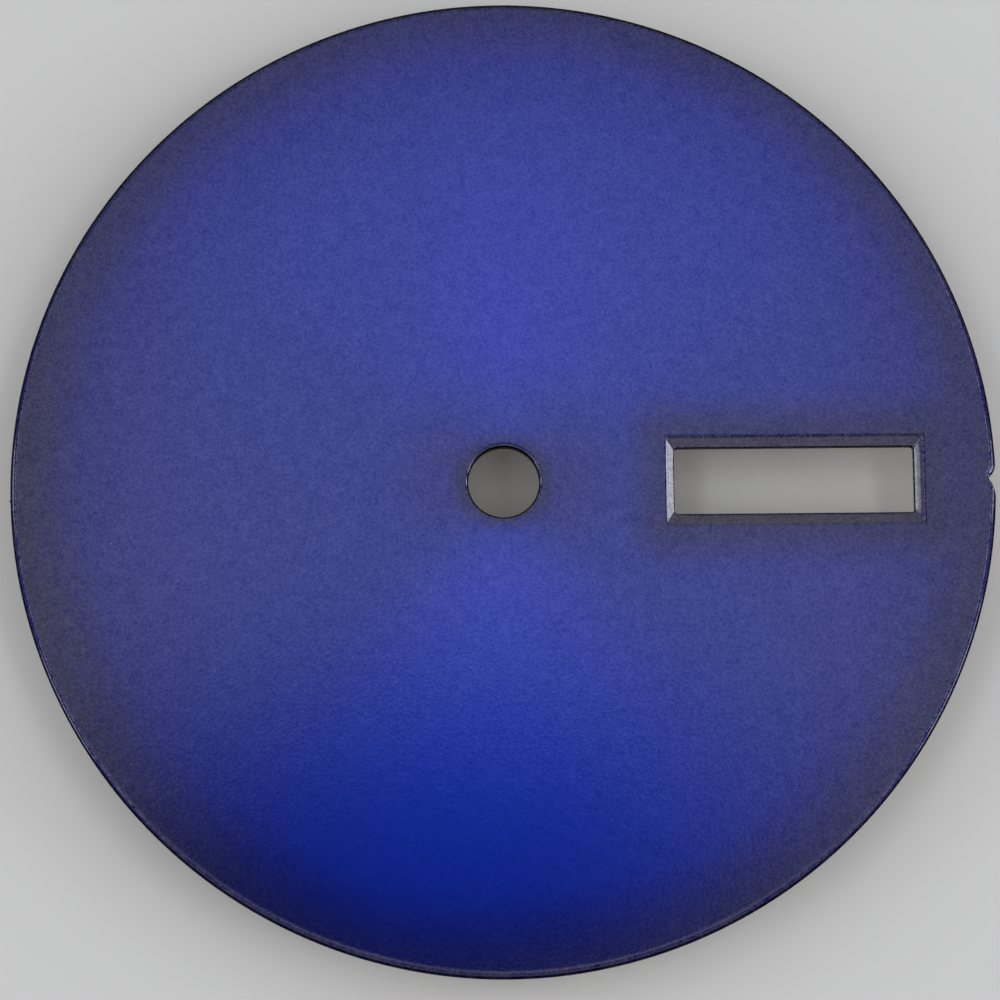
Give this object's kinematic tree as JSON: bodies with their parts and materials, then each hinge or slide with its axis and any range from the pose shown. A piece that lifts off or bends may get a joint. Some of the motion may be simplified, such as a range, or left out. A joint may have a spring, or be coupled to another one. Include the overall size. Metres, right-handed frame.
{
  "type": "watch dial",
  "caption": "Thin round blue lacquered brass watch dial with a central hand hole, a bevelled day and date window, a rim notch and soldered copper feet.",
  "frame": {"origin": "centre of the hand hole, on the back face of the plate", "axes": "+Z out of the face along the hand hole, +X to 3 o'clock through the window and the rim notch, +Y to 12 o'clock"},
  "size_m": [0.0285, 0.0284, 0.0022],
  "materials": {
    "brass": "rolled sheet, lightly brushed, bare on the back",
    "blue_lacquer": "translucent blue over a sunray brushed ground, darker to the rim, under a matt clear film",
    "foot_copper": "drawn copper wire, satin",
    "silver_solder": "silver solder, flowed, slightly dull"
  },
  "bodies": {
    "root": {"dial_blank": "brass", "blue_lacquer_coat": "blue_lacquer", "dial_foot_1_o_clock": "foot_copper", "dial_foot_2_o_clock": "foot_copper", "dial_foot_7_o_clock": "foot_copper", "dial_foot_8_o_clock": "foot_copper", "foot_solder_1_o_clock": "silver_solder", "foot_solder_2_o_clock": "silver_solder", "foot_solder_7_o_clock": "silver_solder", "foot_solder_8_o_clock": "silver_solder"}
  },
  "joints": []
}
